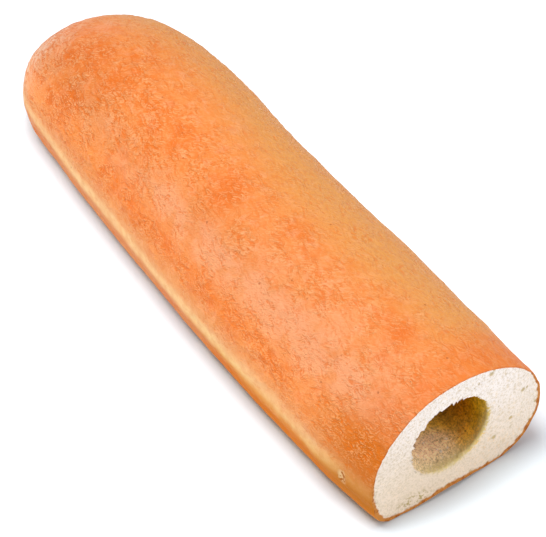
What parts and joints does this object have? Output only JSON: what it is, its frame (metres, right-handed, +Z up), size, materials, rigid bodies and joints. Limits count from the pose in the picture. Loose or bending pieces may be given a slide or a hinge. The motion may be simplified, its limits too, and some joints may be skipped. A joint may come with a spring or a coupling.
{
  "type": "hot dog roll",
  "caption": "Long soft bread roll with a rounded end, a thin browned crust and a square-cut end, pierced lengthwise with a deep blind hole that takes a sausage.",
  "frame": {"origin": "bottom centre of the roll's bounding box, on the surface it rests on", "axes": "+X along the roll towards the cut end and the mouth of the hole, +Z up"},
  "size_m": [0.1808, 0.054, 0.0371],
  "materials": {
    "crust": "soft orange-tan baked skin with a faint sheen and a fine network of paler wrinkles",
    "crumb": "matte cream-white crumb with fine pores, on the cut face and in the hole"
  },
  "bodies": {
    "root": {"roll": "crust"}
  },
  "joints": []
}
